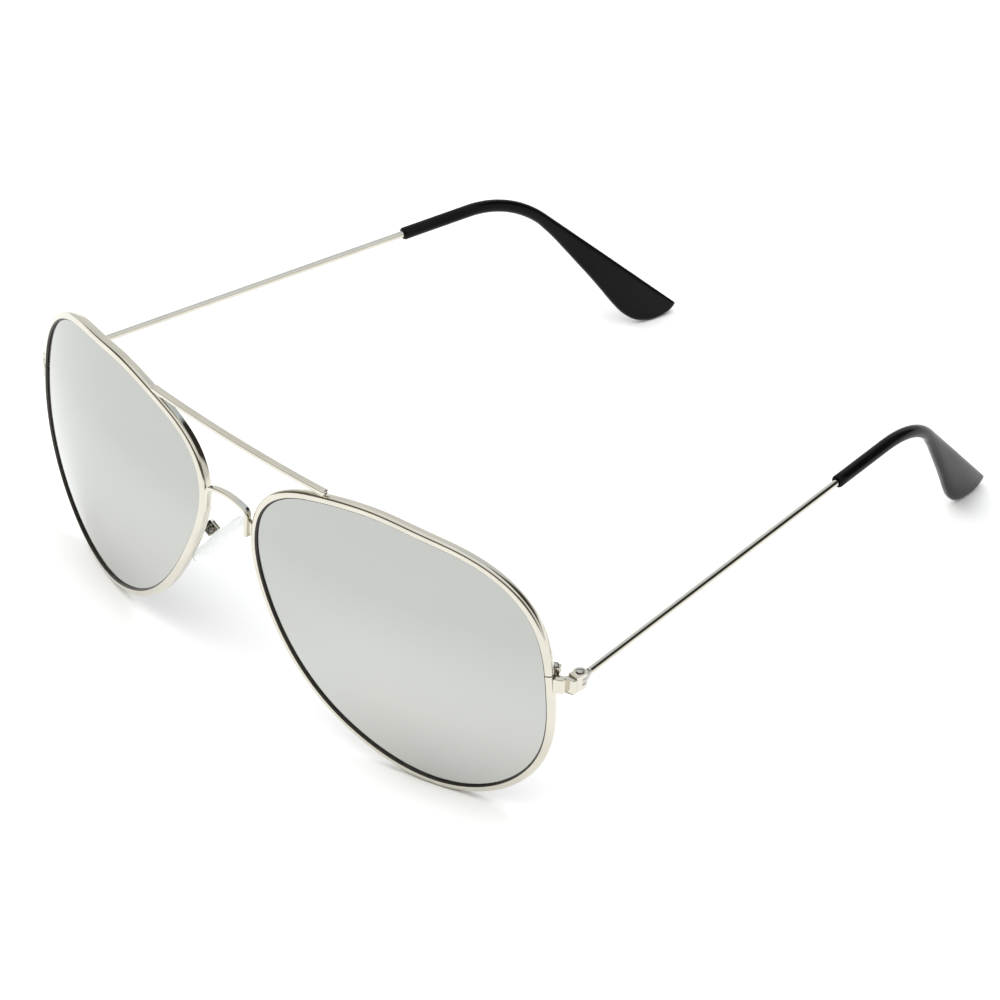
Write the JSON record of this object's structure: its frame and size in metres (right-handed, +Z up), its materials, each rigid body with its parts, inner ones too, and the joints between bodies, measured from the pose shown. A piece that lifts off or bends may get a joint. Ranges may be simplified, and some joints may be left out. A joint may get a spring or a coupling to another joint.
{
  "type": "aviator sunglasses",
  "caption": "Wire-framed aviator sunglasses with mirrored teardrop lenses, a brow bar, rocking nose pads and folding wire temples with plastic tips.",
  "frame": {"origin": "centre of the bounding box at its base, the table that the rims and temple tips stand on", "axes": "-Y is the way the lenses face, +Y runs back along the temples, +Z is up, +X is the wearer's left"},
  "size_m": [0.1346, 0.1453, 0.0511],
  "materials": {
    "frame_metal": "polished champagne silver plating",
    "screw_metal": "satin steel",
    "mirror_lens": "silver mirror coating",
    "tip_plastic": "gloss black",
    "pad_silicone": "clear soft silicone"
  },
  "bodies": {
    "front_frame": {"left_rim": "frame_metal", "left_lens": "mirror_lens", "left_rim_lock_upper": "frame_metal", "left_rim_lock_lower": "frame_metal", "left_rim_lock_screw": "screw_metal", "left_endpiece": "frame_metal", "left_front_hinge": "frame_metal", "left_hinge_screw": "screw_metal", "left_pad_arm": "frame_metal", "left_pad_box": "frame_metal", "left_pad_screw": "screw_metal", "right_rim": "frame_metal", "right_lens": "mirror_lens", "right_rim_lock_upper": "frame_metal", "right_rim_lock_lower": "frame_metal", "right_rim_lock_screw": "screw_metal", "right_endpiece": "frame_metal", "right_front_hinge": "frame_metal", "right_hinge_screw": "screw_metal", "right_pad_arm": "frame_metal", "right_pad_box": "frame_metal", "right_pad_screw": "screw_metal", "brow_bar": "frame_metal", "bridge": "frame_metal"},
    "left_temple": {"left_temple_hinge": "frame_metal", "left_temple_wire": "frame_metal", "left_temple_tip": "tip_plastic"},
    "right_temple": {"right_temple_hinge": "frame_metal", "right_temple_wire": "frame_metal", "right_temple_tip": "tip_plastic"},
    "left_pad": {"left_nose_pad": "pad_silicone"},
    "right_pad": {"right_nose_pad": "pad_silicone"}
  },
  "joints": [
    {"name": "left_temple_fold", "type": "hinge", "parent": "front_frame", "child": "left_temple", "pos_m": [0.0661, -0.0536, 0.0293], "axis": [0, 0, 1], "range_deg": [0, 79]},
    {"name": "right_temple_fold", "type": "hinge", "parent": "front_frame", "child": "right_temple", "pos_m": [-0.0661, -0.0536, 0.0293], "axis": [0, 0, -1], "range_deg": [0, 72]},
    {"name": "left_pad_rock", "type": "hinge", "parent": "front_frame", "child": "left_pad", "pos_m": [0.01064, -0.06605, 0.02589], "axis": [-0.4916, -0.7682, 0.4101], "range_deg": [-8, 3]},
    {"name": "right_pad_rock", "type": "hinge", "parent": "front_frame", "child": "right_pad", "pos_m": [-0.01064, -0.06605, 0.02589], "axis": [-0.4916, 0.7682, -0.4101], "range_deg": [-8, 3]}
  ]
}
